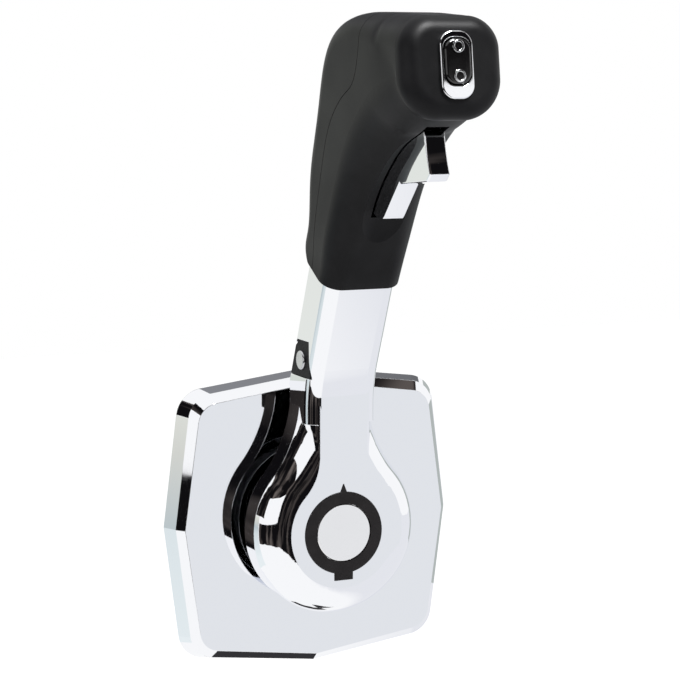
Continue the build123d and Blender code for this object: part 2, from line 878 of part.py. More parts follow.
with BuildPart() as detent_disc:
    with BuildSketch(out(-detent_front)):
        Circle(detent_radius)
        for angle in (90 - detent_angle, 90, 90 + detent_angle):
            orbit = detent_radius - detent_depth + detent_nose
            with Locations((orbit * cos(radians(angle)), orbit * sin(radians(angle)))):
                Circle(detent_nose, mode=Mode.SUBTRACT)
        Circle(shaft_radius, mode=Mode.SUBTRACT)
        with Locations((0, shaft_radius)):
            Rectangle(key_width, key_width, mode=Mode.SUBTRACT)
    extrude(amount=-detent_thickness)
save(detent_disc, "detent_disc")

with BuildPart() as gear_spacer:
    with BuildSketch(out(-gear_front - gear_thickness)):
        Circle(shaft_radius + 3)
        Circle(shaft_radius, mode=Mode.SUBTRACT)
        with Locations((0, shaft_radius)):
            Rectangle(key_width, key_width, mode=Mode.SUBTRACT)
    extrude(amount=-(detent_front - gear_front - gear_thickness))
save(gear_spacer, "gear_spacer")

with BuildPart() as stop_pin:
    with BuildSketch(out(seat_depth + 3)):
        with Locations((0, stop_orbit)):
            Circle(stop_pin_radius)
    extrude(amount=-(seat_depth + 3 + gear_front + gear_thickness))
save(stop_pin, "stop_pin")

# ---------------------------------------------------------------- sensor gears, their shafts and magnets
sensor_places = {"left": 180 - sensor_angle, "right": sensor_angle}
for hand, angle in sensor_places.items():
    place = (sensor_distance * cos(radians(angle)), sensor_distance * sin(radians(angle)))
    with BuildPart() as sensor_gear:
        outline = gear_outline(out(-gear_front), sensor_teeth, angle + 180)
        extrude(outline.moved(Location((place[0], 0, place[1]))), amount=-gear_thickness)
        with BuildSketch(out(-gear_front)):
            with Locations(place):
                Circle(sensor_shaft_radius)
        extrude(amount=-(board_front - 4.0 - gear_front))
    save(sensor_gear, f"sensor_gear_{hand}")
    with BuildPart() as sensor_magnet:
        with BuildSketch(out(-(board_front - 4.0))):
            with Locations(place):
                Circle(sensor_shaft_radius)
        extrude(amount=-magnet_thickness)
    save(sensor_magnet, f"sensor_magnet_{hand}")

# ---------------------------------------------------------------- centre button with its rod and spring
cap_underside = flange_top + 0.2
with BuildPart() as warm_up_button:
    with BuildSketch(out(flange_top - button_cap)):
        Circle(button_flange_radius)
    extrude(amount=button_cap)
    with BuildSketch(out(flange_top)):
        Circle(button_radius)
    extrude(amount=button_top - flange_top)
    fillet(warm_up_button.edges().group_by(Axis.Y)[0], 0.5)
    with BuildSketch(out(flange_top - button_cap)):
        Circle(nut_pocket_radius)
    extrude(amount=cap_underside - flange_top + button_cap, mode=Mode.SUBTRACT)
save(warm_up_button, "warm_up_button")

tact_front = board_front - tact_height
pushrod_back = -(tact_front - tact_plunger - button_travel - seat_gap)
with BuildPart() as button_pushrod:
    with BuildSketch(out(cap_underside)):
        Circle(pushrod_radius)
    extrude(amount=pushrod_back - cap_underside)
save(button_pushrod, "button_pushrod")


def coil_spring(plane, radius, wire, length, turns):
    """A round-wire compression spring standing on a plane, with its wire inside the length."""
    rise = length - 2 * wire
    start = plane.offset(wire)
    with BuildPart() as spring:
        with BuildLine():
            coil = Helix(rise / turns, rise, radius)
        with BuildSketch(Plane(coil @ 0, z_dir=coil % 0)):
            Circle(wire)
        sweep(is_frenet=True)
    return spring.part.moved(start.location)


with BuildPart() as button_spring:
    add(coil_spring(out(socket_floor), nut_pocket_radius - 1.1, 0.5, cap_underside - socket_floor, 4))
save(button_spring, "button_spring")

# ---------------------------------------------------------------- housing, lid and their screws
board_posts = [(x, z) for x in (-board_post_x, board_post_x) for z in board_post_z]
sensor_points = [
    (sensor_distance * cos(radians(angle)), sensor_distance * sin(radians(angle)))
    for angle in sensor_places.values()
]
sensor_bush_front = gear_front + gear_thickness + seat_gap
sensor_bush_radius = sensor_shaft_radius + running_fit + sensor_bush_wall
drum_middle = (drum_front + drum_back) / 2
adjuster_plane = Plane((-housing_half_width, drum_middle, 0), x_dir=(0, 1, 0), z_dir=(1, 0, 0))
with BuildPart() as gear_housing:
    extrude(housing_outline(out(seat_depth), 0), amount=-(seat_depth + housing_depth))
    extrude(
        housing_outline(out(seat_depth), housing_wall),
        amount=-(seat_depth + partition_front),
        mode=Mode.SUBTRACT,
    )
    extrude(
        housing_outline(out(-partition_back), housing_wall),
        amount=-(housing_depth - partition_back),
        mode=Mode.SUBTRACT,
    )
    with BuildSketch(out(seat_depth)):
        with Locations(*housing_bosses):
            Circle(boss_radius)
    extrude(amount=-(seat_depth + housing_depth))
    with BuildSketch(out(-sensor_bush_front)):
        with Locations(*sensor_points):
            Circle(sensor_bush_radius + 2)
    extrude(amount=-(partition_back - sensor_bush_front))
    with BuildSketch(out(-partition_back)):
        with Locations(*board_posts):
            Circle(board_post_radius)
    extrude(amount=-(board_front - partition_back))
    with BuildSketch(out(-sensor_bush_front)):
        with Locations(*sensor_points):
            Circle(sensor_bush_radius)
    extrude(amount=-(partition_back - sensor_bush_front), mode=Mode.SUBTRACT)
    with BuildSketch(out(-partition_front)):
        Circle(rear_journal_radius + running_fit + bush_wall)
    extrude(amount=-(partition_back - partition_front), mode=Mode.SUBTRACT)
    with BuildSketch(out(seat_depth)):
        with Locations(*housing_bosses):
            Circle(screw_radius)
    extrude(amount=-10, mode=Mode.SUBTRACT)
    with BuildSketch(out(-housing_depth)):
        with Locations(*housing_bosses):
            Circle(screw_radius)
    extrude(amount=8, mode=Mode.SUBTRACT)
    with BuildSketch(out(-board_front)):
        with Locations(*board_posts):
            Circle(board_screw_radius)
    extrude(amount=5, mode=Mode.SUBTRACT)
    with BuildSketch(adjuster_plane):
        Circle(adjuster_radius)
    extrude(amount=housing_wall, mode=Mode.SUBTRACT)
save(gear_housing, "gear_housing")

with BuildPart() as sensor_bushes:
    with BuildSketch(out(-sensor_bush_front)):
        with Locations(*sensor_points):
            Circle(sensor_bush_radius)
            Circle(sensor_shaft_radius + running_fit, mode=Mode.SUBTRACT)
    extrude(amount=-(partition_back - sensor_bush_front))
save(sensor_bushes, "sensor_bushes")


def pan_screws(plane, points, radius, length, head_radius, head_height):
    """Pan-head screws at the points, heads standing on the plane and shanks reaching below it."""
    with BuildPart() as screws:
        with BuildSketch(plane):
            with Locations(*points):
                Circle(head_radius)
        extrude(amount=head_height)
        with BuildSketch(plane):
            with Locations(*points):
                Circle(radius)
        extrude(amount=-length)
        with BuildSketch(plane.offset(head_height)):
            with Locations(*points):
                RegularPolygon(head_radius / 2, 6)
        extrude(amount=-head_height / 2, mode=Mode.SUBTRACT)
    return screws


save(
    pan_screws(out(base_thickness), housing_bosses, screw_radius, base_thickness + 8, screw_head_radius, screw_head),
    "housing_screws",
)
back_of = Plane((0, housing_depth + lid_thickness, 0), x_dir=(1, 0, 0), z_dir=(0, 1, 0))
save(
    pan_screws(
        back_of, [(x, -z) for x, z in housing_bosses], screw_radius, lid_thickness + 7, screw_head_radius, screw_head
    ),
    "lid_screws",
)
board_plane = Plane((0, board_back, 0), x_dir=(1, 0, 0), z_dir=(0, 1, 0))
save(
    pan_screws(board_plane, [(x, -z) for x, z in board_posts], board_screw_radius, board_thickness + 4.5, 2.3, 1.5),
    "board_screws",
)

with BuildPart() as housing_lid:
    extrude(housing_outline(out(-housing_depth), 0), amount=-lid_thickness)
    fillet(housing_lid.faces().sort_by(Axis.Y)[-1].edges(), 1.2)
    extrude(housing_outline(out(-housing_depth), housing_wall + 0.2), amount=1.8)
    extrude(housing_outline(out(-housing_depth), housing_wall + 1.8), amount=1.8, mode=Mode.SUBTRACT)
    with BuildSketch(out(-housing_depth)):
        with Locations(*housing_bosses):
            Circle(boss_radius + 0.3)
    extrude(amount=1.8, mode=Mode.SUBTRACT)
    with BuildSketch(out(-housing_depth)):
        with Locations(*housing_bosses):
            Circle(screw_radius + 0.2)
    extrude(amount=-lid_thickness, mode=Mode.SUBTRACT)
    with BuildSketch(out(-housing_depth)):
        with Locations((0, connector_z)):
            Circle(connector_barrel - connector_wall)
    extrude(amount=-lid_thickness, mode=Mode.SUBTRACT)
save(housing_lid, "housing_lid")

# ---------------------------------------------------------------- circuit board and what is on it
with BuildPart() as sensor_board:
    extrude(housing_outline(out(-board_front), housing_wall + 0.5), amount=-board_thickness)
    with BuildSketch(out(-board_front)):
        with Locations(*housing_bosses):
            Circle(boss_radius + 0.5)
        with Locations(*board_posts):
            Circle(board_screw_radius + 0.1)
    extrude(amount=-board_thickness, mode=Mode.SUBTRACT)
save(sensor_board, "sensor_board")

with BuildPart() as hall_sensors:
    with BuildSketch(out(-board_front)):
        with Locations(*sensor_points):
            Rectangle(chip_width, chip_width)
    extrude(amount=chip_height)
save(hall_sensors, "hall_sensors")

with BuildPart() as warm_up_switch:
    with BuildSketch(out(-board_front)):
        Rectangle(tact_width, tact_width)
    extrude(amount=tact_height)
    with BuildSketch(out(-tact_front)):
        Circle(1.5)
    extrude(amount=tact_plunger)
save(warm_up_switch, "warm_up_switch")

lid_back = housing_depth + lid_thickness
with BuildPart() as harness_socket:
    with BuildSketch(out(-lid_back)):
        with Locations((0, connector_z)):
            Circle(connector_radius)
    extrude(amount=-2)
    with BuildSketch(out(-lid_back)):
        with Locations((0, connector_z)):
            Circle(connector_barrel)
    extrude(amount=-2 - connector_length)
    with BuildSketch(out(-lid_back - 2 - connector_length)):
        with Locations((0, connector_z)):
            Circle(connector_barrel - connector_wall)
    extrude(amount=connector_length - 1, mode=Mode.SUBTRACT)
    with BuildSketch(out(-lid_back)):
        with Locations((0, connector_z)):
            with PolarLocations(4.0, 6):
                Circle(0.8)
    extrude(amount=-4, mode=Mode.SUBTRACT)
save(harness_socket, "harness_socket")

with BuildPart() as socket_pins:
    with BuildSketch(out(-lid_back)):
        with Locations((0, connector_z)):
            with PolarLocations(4.0, 6):
                Circle(0.8)
    extrude(amount=-3 - pin_length)
save(socket_pins, "socket_pins")

# ---------------------------------------------------------------- detent leaf spring and its screw
nose_z = detent_radius - detent_depth + detent_nose
nose_radius = detent_nose - collar_gap - leaf_thickness / 2
leaf_top = housing_top - housing_wall - leaf_thickness / 2
leaf_front = detent_front + (detent_thickness - leaf_width) / 2
with BuildPart() as detent_spring:
    with BuildSketch(out(-leaf_front)):
        with BuildLine():
            foot = Line((leaf_foot_x, leaf_top), (-12, leaf_top))
            down = Line(foot @ 1, (-nose_radius, nose_z + 1.5))
            side_in = Line(down @ 1, (-nose_radius, nose_z))
            nose = ThreePointArc(side_in @ 1, (0, nose_z - nose_radius), (nose_radius, nose_z))
            Line(nose @ 1, (nose_radius + 2, nose_z + 3))
        trace(line_width=leaf_thickness)
    extrude(amount=-leaf_width)
    with BuildSketch(Plane.XY.offset(leaf_top)):
        with Locations((leaf_foot_x + 3.5, leaf_front + leaf_width / 2)):
            Circle(1.1)
    extrude(amount=2, both=True, mode=Mode.SUBTRACT)
save(detent_spring, "detent_spring")

with BuildPart() as detent_screw:
    foot_under = housing_top - housing_wall - leaf_thickness
    with BuildSketch(Plane.XY.offset(foot_under)):
        with Locations((leaf_foot_x + 3.5, leaf_front + leaf_width / 2)):
            Circle(1.9)
    extrude(amount=-1.4)
    with BuildSketch(Plane.XY.offset(foot_under)):
        with Locations((leaf_foot_x + 3.5, leaf_front + leaf_width / 2)):
            Circle(1.0)
    extrude(amount=leaf_thickness)
save(detent_screw, "detent_screw")

# ---------------------------------------------------------------- friction adjuster
with BuildPart() as friction_shoe:
    with BuildSketch(out(-drum_front - (drum_back - drum_front - shoe_length) / 2)):
        with Locations((-drum_radius + 1, 0)):
            Rectangle(shoe_thickness + 1, shoe_height, align=(Align.MAX, Align.CENTER))
        Circle(drum_radius + running_fit, mode=Mode.SUBTRACT)
    extrude(amount=-shoe_length)
save(friction_shoe, "friction_shoe")

shoe_back_x = 1 - drum_radius - shoe_thickness - 1
with BuildPart() as friction_screw:
    with BuildSketch(adjuster_plane.offset(-adjuster_reach)):
        Circle(adjuster_radius)
    extrude(amount=shoe_back_x + housing_half_width + adjuster_reach)
    with BuildSketch(adjuster_plane.offset(-adjuster_reach)):
        Circle(adjuster_radius + 1.6)
    extrude(amount=-3)
    with BuildSketch(adjuster_plane.offset(-adjuster_reach - 3)):
        Rectangle(1.0, 4 * adjuster_radius)
    extrude(amount=1.2, mode=Mode.SUBTRACT)
save(friction_screw, "friction_screw")

with BuildPart() as friction_locknut:
    with BuildSketch(adjuster_plane):
        RegularPolygon(4.5, 6, major_radius=False)
        Circle(adjuster_radius, mode=Mode.SUBTRACT)
    extrude(amount=-3.5)
save(friction_locknut, "friction_locknut")

# ---------------------------------------------------------------- neutral lock: rod, guide, spring and trigger
with BuildPart() as lock_rod:
    with BuildSketch(across_arm(rod_foot - 6)):
        Circle(lock_rod_radius)
    extrude(amount=trigger_bore_top - rod_foot + 6)
    with BuildSketch(across_arm(lock_step + seat_gap)):
        Circle(lock_collar_radius)
    extrude(amount=lock_collar_height)
    with BuildSketch(out(0)):
        Circle(lock_clear_radius)
    extrude(amount=hub_cavity_out, mode=Mode.SUBTRACT)
save(lock_rod, "lock_rod")

with BuildPart() as lock_rod_guide:
    with BuildSketch(across_arm(arm_top - guide_length)):
        Circle(lock_bore_radius)
        Circle(lock_rod_radius + slide_gap, mode=Mode.SUBTRACT)
    extrude(amount=guide_length)
save(lock_rod_guide, "lock_rod_guide")

collar_top = lock_step + seat_gap + lock_collar_height
with BuildPart() as lock_spring:
    add(
        coil_spring(
            across_arm(collar_top + seat_gap),
            (lock_rod_radius + lock_bore_radius) / 2,
            0.45,
            arm_top - guide_length - collar_top - 2 * seat_gap,
            8,
        )
    )
save(lock_spring, "lock_spring")

root_low, root_high = trigger_root
with BuildPart() as lock_trigger:
    with BuildSketch(side) as trigger_side:
        with BuildLine():
            toe = Polyline(*trigger_toe)
            hook = ThreePointArc(toe @ 1, trigger_hook, trigger_back[0])
            Polyline(
                hook @ 1,
                *trigger_back[1:],
                along_arm(root_high, trigger_root_half),
                along_arm(root_high, -trigger_root_half),
                along_arm(root_low, -trigger_root_half),
                along_arm(root_low, trigger_root_half),
                toe @ 0,
            )
        make_face()
        for corner, radius in (
            (trigger_toe[-3], trigger_lip_radius),
            (trigger_toe[-2], trigger_toe_radius),
        ):
            fillet(
                trigger_side.vertices().filter_by(lambda v: hypot(v.X - corner[0], v.Y - corner[1]) < 0.01), radius
            )
    extrude(amount=trigger_half_width, both=True)
    toe_edges = lock_trigger.edges().filter_by(
        lambda e: abs(abs(e.center().X) - trigger_half_width) < 0.01
        and -e.center().Y > trigger_toe[-4][0]
        and e.center().Z < trigger_back[0][1]
    )
    fillet(toe_edges, trigger_edge)
    with BuildSketch(across_arm(root_low)):
        Circle(lock_rod_radius)
    extrude(amount=trigger_bore_top - root_low, mode=Mode.SUBTRACT)
save(lock_trigger, "lock_trigger")


# ---------------------------------------------------------------- palm grip: one lofted form split along its seam
def head_section(depth, inset):
    """The head's rounded outline at a depth behind its face, drawn in by an inset."""
    with BuildSketch(head.offset(-depth)) as outline:
        RectangleRounded(head_width - 2 * inset, head_height - 2 * inset, head_corner - inset)
    return outline.sketch


def seam_region(shift, corners):
    """Everything on one side of the seam, as a side profile."""
    with BuildSketch(side) as region:
        with BuildLine():
            seam = Spline(*[(x - shift / 2, z + shift / 2) for x, z in seam_points])
            Polyline(seam @ 1, *corners, seam @ 0)
        make_face()
    return region.sketch


with BuildPart() as grip_form:
    # the outside: palm and finger sides run into the head, whose face has rounded edges
    loft(sections=[grip_section(station) for station in grip_stations])
    loft(sections=[grip_section(grip_stations[-1]), head_section(0, 0)], ruled=True)
    fillet(grip_form.faces().sort_by(Axis.Y)[0].edges(), head_edge)
    # the hollow, less the screw bosses and the thick pad round the trigger
    with BuildPart(mode=Mode.PRIVATE) as hollow:
        loft(
            sections=[grip_section(station, grip_wall) for station in grip_stations[:-1]]
            + [head_section(bezel_depth, grip_wall + 1)]
        )
        for length in grip_screw_lengths:
            with BuildSketch(grip_screw_plane(length)):
                with Locations((-grip_screw_x, 0), (grip_screw_x, 0)):
                    Circle(grip_boss_radius)
            extrude(amount=2 * arm_depth, both=True, mode=Mode.SUBTRACT)
        with BuildSketch(side):
            with BuildLine():
                Polyline(*pad_points, close=True)
            make_face()
        extrude(amount=pad_half_width, both=True, mode=Mode.SUBTRACT)
    add(hollow.part, mode=Mode.SUBTRACT)
    # room for the arm
    with BuildSketch(across_arm(0)) as arm_room:
        with Locations((0, arm_depth / 2 - rod_to_front)):
            Rectangle(arm_width + 2 * arm_clearance, arm_depth + 2 * arm_clearance)
        fillet(arm_room.vertices().group_by(Axis.Y)[0], arm_corner)
        fillet(arm_room.vertices().group_by(Axis.Y)[-1], arm_rear_corner)
    extrude(amount=arm_top + arm_clearance, mode=Mode.SUBTRACT)
    # the finger scoop and the slot that the trigger moves in
    with BuildLine(side):
        scoop = Spline(*scoop_path)
    with BuildSketch(Plane(scoop @ 0, z_dir=scoop % 0)):
        Circle(scoop_radius)
    sweep(path=scoop, mode=Mode.SUBTRACT)
    with BuildSketch(side):
        with BuildLine():
            Polyline(*slot_points, close=True)
        make_face()
    extrude(amount=slot_half_width, both=True, mode=Mode.SUBTRACT)
    # the switch's opening in the head
    with BuildSketch(switch_seat):
        RectangleRounded(bezel_width, bezel_height, bezel_corner)
    extrude(amount=-bezel_depth, mode=Mode.SUBTRACT)
    # screw holes: counterbored from the palm side, blind at the finger side
    for length in grip_screw_lengths:
        for start, radius, amount in (
            (arm_rear - grip_boss_seat, grip_screw_head + collar_gap, -arm_depth),
            (arm_rear - grip_boss_seat, grip_screw_radius + slide_gap, grip_boss_seat),
            (rod_to_front, grip_screw_radius, grip_screw_tip - rod_to_front),
        ):
            with BuildSketch(grip_screw_plane(length).offset(start)):
                with Locations((-grip_screw_x, 0), (grip_screw_x, 0)):
                    Circle(radius)
            extrude(amount=amount, mode=Mode.SUBTRACT)

with BuildPart() as front_grip:
    add(grip_form.part)
    extrude(seam_region(-seam_shift, [(170, 232), (170, 95), (48, 95)]), amount=40, both=True, mode=Mode.INTERSECT)
save(front_grip, "front_grip")

with BuildPart() as rear_grip:
    add(grip_form.part)
    extrude(seam_region(seam_shift, [(20, 232), (20, 113)]), amount=40, both=True, mode=Mode.INTERSECT)
save(rear_grip, "rear_grip")

grip_screw_seat = arm_rear - grip_boss_seat
with BuildPart() as grip_screws:
    for length in grip_screw_lengths:
        for start, radius, amount in (
            (grip_screw_seat, grip_screw_head, -grip_screw_head_height),
            (grip_screw_seat, grip_screw_radius, grip_screw_tip - grip_screw_seat),
        ):
            with BuildSketch(grip_screw_plane(length).offset(start)):
                with Locations((-grip_screw_x, 0), (grip_screw_x, 0)):
                    Circle(radius)
            extrude(amount=amount)
        with BuildSketch(grip_screw_plane(length).offset(grip_screw_seat - grip_screw_head_height)):
            with Locations((-grip_screw_x, 0), (grip_screw_x, 0)):
                RegularPolygon(grip_screw_head / 2, 6)
        extrude(amount=grip_screw_head_height / 2, mode=Mode.SUBTRACT)
save(grip_screws, "grip_screws")

# ---------------------------------------------------------------- trim switch on the head
rocker_front = bezel_proud + rocker_rise
pip_offsets = ((0, rocker_shift - pip_spacing / 2), (0, rocker_shift + pip_spacing / 2))
hinge_line = Plane(
    switch_seat.from_local_coords((0, rocker_shift, -rocker_pin_depth)), x_dir=(0, 1, 0), z_dir=(1, 0, 0)
)
with BuildPart() as switch_bezel:
    with BuildSketch(switch_seat.offset(-bezel_depth)):
        RectangleRounded(bezel_width, bezel_height, bezel_corner)
    extrude(amount=bezel_depth + bezel_proud)
    fillet(switch_bezel.faces().sort_by(Axis.Y)[0].edges(), 0.6)
    with BuildSketch(switch_seat.offset(-bezel_depth)):
        with Locations((0, rocker_shift)):
            RectangleRounded(
                rocker_width + 2 * rocker_side_gap, rocker_height + 2 * rocker_end_gap, rocker_corner
            )
    extrude(amount=bezel_depth + bezel_proud, mode=Mode.SUBTRACT)
    with BuildSketch(hinge_line):
        Circle(rocker_pin_radius)
    extrude(amount=bezel_width / 2 - 0.4, both=True, mode=Mode.SUBTRACT)
save(switch_bezel, "switch_bezel")

with BuildPart() as rocker_pin:
    with BuildSketch(hinge_line):
        Circle(rocker_pin_radius)
    extrude(amount=bezel_width / 2 - 0.4, both=True)
save(rocker_pin, "rocker_pin")

with BuildPart() as trim_rocker:
    with BuildSketch(switch_seat.offset(-rocker_pin_depth - 2)):
        with Locations((0, rocker_shift)):
            RectangleRounded(rocker_width, rocker_height, rocker_corner)
    extrude(amount=rocker_front + rocker_pin_depth + 2)
    fillet(trim_rocker.faces().sort_by(Axis.Y)[0].edges(), 1.0)
    with BuildSketch(switch_seat.offset(rocker_front - 0.6)):
        with Locations(*pip_offsets):
            Circle(pip_radius)
            Circle(pip_radius - pip_wall, mode=Mode.SUBTRACT)
    extrude(amount=1, mode=Mode.SUBTRACT)
    with BuildSketch(hinge_line):
        Circle(rocker_pin_radius + running_fit)
    extrude(amount=rocker_width, both=True, mode=Mode.SUBTRACT)
save(trim_rocker, "trim_rocker")

with BuildPart() as rocker_pips:
    with BuildSketch(switch_seat.offset(rocker_front - 0.6)):
        with Locations(*pip_offsets):
            Circle(pip_radius)
            Circle(pip_radius - pip_wall, mode=Mode.SUBTRACT)
    extrude(amount=0.6 + pip_rise)
save(rocker_pips, "rocker_pips")

with BuildPart() as trim_switch_body:
    with BuildSketch(switch_seat.offset(-bezel_depth)):
        Rectangle(switch_width, switch_height)
    extrude(amount=bezel_depth - switch_back)
    fillet(trim_switch_body.edges().filter_by(lambda e: abs(e.length - switch_back + bezel_depth) < 0.01), 1.5)
save(trim_switch_body, "trim_switch_body")
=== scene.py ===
from math import cos, degrees, pi, radians, sin

import bpy
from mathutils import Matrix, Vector


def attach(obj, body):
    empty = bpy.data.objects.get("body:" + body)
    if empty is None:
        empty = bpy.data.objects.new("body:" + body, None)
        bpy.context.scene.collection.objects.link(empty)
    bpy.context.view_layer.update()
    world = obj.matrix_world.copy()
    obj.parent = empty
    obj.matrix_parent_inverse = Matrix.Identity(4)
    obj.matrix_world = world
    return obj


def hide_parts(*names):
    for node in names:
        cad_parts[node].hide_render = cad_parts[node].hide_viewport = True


# A side-mount boat throttle control: a chromed cover plate and lever, a black palm grip with a
# neutral-lock trigger and a trim rocker, and the sensing mechanism in a housing behind the panel.
# Metres. +X to the right, +Z up, the lever stands out of the panel towards -Y.

bl_info = {
    "name": "Boat Throttle Control",
    "version": (1, 0, 0),
    "blender": (4, 5, 0),
    "location": "3D Viewport > Sidebar > Throttle",
    "description": "Dresses a side-mount boat throttle control in its finishes and sets up its studio",
    "category": "Object",
}

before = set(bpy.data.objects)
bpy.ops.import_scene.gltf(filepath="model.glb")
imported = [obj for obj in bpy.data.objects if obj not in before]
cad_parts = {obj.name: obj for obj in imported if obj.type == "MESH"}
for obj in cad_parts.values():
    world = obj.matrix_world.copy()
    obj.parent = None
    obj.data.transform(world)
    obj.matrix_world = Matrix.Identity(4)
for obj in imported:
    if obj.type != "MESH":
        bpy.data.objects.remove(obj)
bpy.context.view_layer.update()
MM = 0.001


# ---------------------------------------------------------------- colours and nodes
def linear(hex_colour, alpha=1.0):
    """An sRGB hex colour such as "2E2E31" as linear red, green, blue and alpha."""
    channels = []
    for start in (0, 2, 4):
        value = int(hex_colour[start : start + 2], 16) / 255
        channels.append(value / 12.92 if value <= 0.04045 else ((value + 0.055) / 1.055) ** 2.4)
    return (*channels, alpha)


def add(tree, kind, inputs=None, **settings):
    """Adds a node, sets its properties, and sets or links its inputs."""
    node = tree.nodes.new(kind)
    for name, value in settings.items():
        setattr(node, name, value)
    for name, value in (inputs or {}).items():
        if isinstance(value, bpy.types.NodeSocket):
            tree.links.new(value, node.inputs[name])
        else:
            node.inputs[name].default_value = value
    return node


def new_material(name):
    """An empty material with its Principled shader, and the object's own coordinates in metres."""
    material = bpy.data.materials.new(name)
    material.use_nodes = True
    tree = material.node_tree
    tree.nodes.clear()
    shader = add(tree, "ShaderNodeBsdfPrincipled")
    add(tree, "ShaderNodeOutputMaterial", {"Surface": shader.outputs["BSDF"]})
    place = add(tree, "ShaderNodeTexCoord").outputs["Object"]
    return material, tree, shader, place


def cells_per_metre(size_mm):
    """The scale that makes one cell of a texture as large as a real size in millimetres."""
    return 1 / (size_mm * MM)


def set_inputs(shader, **values):
    """Sets the shader's own sockets, by their names with underscores for spaces."""
    for name, value in values.items():
        shader.inputs[name.replace("_", " ")].default_value = value


def uneven_roughness(tree, shader, place, size_mm, low, high):
    """Lets the roughness wander between two values over patches of a real size."""
    patches = add(
        tree,
        "ShaderNodeTexNoise",
        {"Vector": place, "Scale": cells_per_metre(size_mm), "Detail": 4.0, "Roughness": 0.6},
    )
    spread = add(
        tree,
        "ShaderNodeMapRange",
        {"Value": patches.outputs["Fac"], "From Min": 0.3, "From Max": 0.7, "To Min": low, "To Max": high},
    )
    tree.links.new(spread.outputs["Result"], shader.inputs["Roughness"])


def mottled_colour(tree, shader, place, size_mm, low_hex, high_hex):
    """Lets the colour wander between two close shades over patches of a real size."""
    patches = add(
        tree,
        "ShaderNodeTexNoise",
        {"Vector": place, "Scale": cells_per_metre(size_mm), "Detail": 5.0, "Roughness": 0.55},
    )
    ramp = add(tree, "ShaderNodeValToRGB", {"Fac": patches.outputs["Fac"]})
    ramp.color_ramp.elements[0].position = 0.35
    ramp.color_ramp.elements[0].color = linear(low_hex)
    ramp.color_ramp.elements[1].position = 0.65
    ramp.color_ramp.elements[1].color = linear(high_hex)
    tree.links.new(ramp.outputs["Color"], shader.inputs["Base Color"])


# how far a wave texture turns, in radians, in one unit of its scale
WAVE_RADIANS = 20


def bump_from(tree, shader, height, depth_mm, strength=1.0):
    """Raises the surface by a height texture whose full range is a real depth."""
    bump = add(tree, "ShaderNodeBump", {"Height": height, "Distance": depth_mm * MM, "Strength": strength})
    tree.links.new(bump.outputs["Normal"], shader.inputs["Normal"])
    return bump


# ---------------------------------------------------------------- materials
def chromed_casting():
    """Zinc casting, buffed and chrome plated: a clean mirror, cool in the flats."""
    material, tree, shader, place = new_material("chromed_casting")
    set_inputs(shader, Metallic=1.0, Base_Color=linear("F6F7FA"))
    uneven_roughness(tree, shader, place, 14, 0.012, 0.045)
    # buffing leaves the flats a hair uneven, which only shows in mirrored edges
    waves = add(tree, "ShaderNodeTexNoise", {"Vector": place, "Scale": cells_per_metre(22), "Detail": 1.0})
    bump = bump_from(tree, shader, waves.outputs["Fac"], 0.012)
    # buffed edges are about 0.35 mm round, and catch a line of light or dark
    soft_edge = add(tree, "ShaderNodeBevel", {"Radius": 0.35 * MM}, samples=6)
    tree.links.new(soft_edge.outputs["Normal"], bump.inputs["Normal"])
    return material


def turned_aluminium():
    """Aluminium button cap, faced on a lathe and clear anodised: faint rings round its middle."""
    material, tree, shader, place = new_material("turned_aluminium")
    set_inputs(shader, Metallic=1.0, Base_Color=linear("FBFAFA"), Anisotropic=0.3)
    # real tool marks are about 0.1 mm apart, drawn 2.83 mm apart so that they show
    across = add(tree, "ShaderNodeMapping", {"Vector": place, "Scale": (1.0, 0.0, 1.0)})
    rings = add(
        tree,
        "ShaderNodeTexWave",
        {
            "Vector": across.outputs["Vector"],
            "Scale": cells_per_metre(2.83) * 2 * pi / WAVE_RADIANS,
            "Distortion": 0.4,
            "Detail": 2.0,
        },
        wave_type="RINGS",
        rings_direction="SPHERICAL",
    )
    uneven_roughness(tree, shader, place, 12, 0.12, 0.16)
    bump_from(tree, shader, rings.outputs["Fac"], 0.002, 0.4)
    return material


def soft_touch_grip():
    """Moulded nylon grip with a soft-touch coat: near black and dull, with a fine leather-like grain."""
    material, tree, shader, place = new_material("soft_touch_grip")
    set_inputs(shader, Specular_IOR_Level=0.13)
    mottled_colour(tree, shader, place, 9, "121214", "171719")
    uneven_roughness(tree, shader, place, 18, 0.38, 0.46)
    # the mould's spark-eroded grain is about 0.25 mm, drawn at 0.5 mm so that it shows
    grain = add(
        tree, "ShaderNodeTexVoronoi", {"Vector": place, "Scale": cells_per_metre(0.5)}, feature="SMOOTH_F1"
    )
    bump_from(tree, shader, grain.outputs["Distance"], 0.03, 0.35)
    return material


def moulded_black_nylon():
    """Moulded black nylon of the ring and the switch bodies: dark, a little shiny, nearly smooth."""
    material, tree, shader, place = new_material("moulded_black_nylon")
    set_inputs(shader, Specular_IOR_Level=0.22)
    mottled_colour(tree, shader, place, 5, "1A1718", "201D1E")
    uneven_roughness(tree, shader, place, 6, 0.3, 0.4)
    grain = add(tree, "ShaderNodeTexNoise", {"Vector": place, "Scale": cells_per_metre(0.4), "Detail": 3.0})
    bump_from(tree, shader, grain.outputs["Fac"], 0.012, 0.4)
    return material


def matt_black_acetal():
    """Turned black acetal plug: flat black with the faintest sheen."""
    material, tree, shader, place = new_material("matt_black_acetal")
    set_inputs(shader, Specular_IOR_Level=0.08)
    mottled_colour(tree, shader, place, 4, "121214", "18181B")
    uneven_roughness(tree, shader, place, 4, 0.4, 0.5)
    grain = add(tree, "ShaderNodeTexNoise", {"Vector": place, "Scale": cells_per_metre(0.5), "Detail": 3.0})
    bump_from(tree, shader, grain.outputs["Fac"], 0.01, 0.4)
    return material


